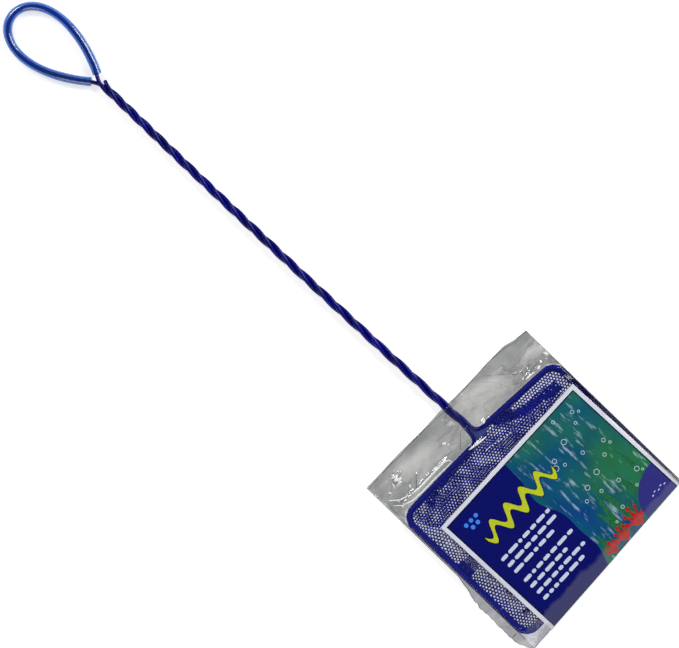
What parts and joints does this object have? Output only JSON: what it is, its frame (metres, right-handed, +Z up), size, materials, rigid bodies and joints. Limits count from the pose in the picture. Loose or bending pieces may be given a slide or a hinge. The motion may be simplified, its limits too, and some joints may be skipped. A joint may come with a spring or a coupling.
{
  "type": "aquarium fish net",
  "caption": "Flat rectangular fish net on a long twisted wire handle with a hanging loop, in a clear bag with a printed insert card.",
  "frame": {"origin": "middle of the net's mouth, on the outside of the bag's back film, which is the surface that the part lies on", "axes": "+X along the handle from its hanging loop towards the hoop's far bar, +Y across the hoop, +Z up out of the surface"},
  "size_m": [0.4695, 0.1328, 0.0072],
  "materials": {
    "steel_wire": "drawn steel wire, bare only at its two cut ends",
    "vinyl_coat": "glossy navy blue vinyl",
    "clear_tube": "clear azure soft tube",
    "hem_fabric": "dense navy nylon net, wrapped and sewn round the wire",
    "seam_fabric": "doubled and stitched royal blue nylon net",
    "net_mesh": "fine knitted royal blue nylon mesh",
    "printed_card": "glossy printed card with a white border and a plain white back",
    "clear_film": "thin clear polythene film, creased"
  },
  "bodies": {
    "net": {"steel_wire": "steel_wire", "strand_outward": "vinyl_coat", "strand_return": "vinyl_coat", "strand_short": "vinyl_coat", "neck_left": "vinyl_coat", "neck_right": "vinyl_coat", "hoop_coat": "vinyl_coat", "leg_outward": "vinyl_coat", "leg_return": "vinyl_coat", "loop_coat": "vinyl_coat", "grip_tube": "clear_tube", "hem_near_left": "hem_fabric", "hem_near_right": "hem_fabric", "hem_far": "hem_fabric", "side_seam_left": "seam_fabric", "side_seam_right": "seam_fabric", "net_near": "net_mesh", "net_far": "net_mesh", "net_slack": "net_mesh", "toe_seam": "seam_fabric"},
    "bag": {"bag_back": "clear_film", "bag_front": "clear_film", "bag_fold_side": "clear_film", "bag_weld_side": "clear_film", "bag_end": "clear_film"},
    "card": {"insert_card": "printed_card"}
  },
  "joints": [
    {"name": "bag_draw", "type": "slide", "parent": "net", "child": "bag", "axis": [1, 0, 0], "range_m": [0, 0.14]},
    {"name": "card_draw", "type": "slide", "parent": "bag", "child": "card", "axis": [-1, 0, 0], "range_m": [0, 0.145]}
  ]
}
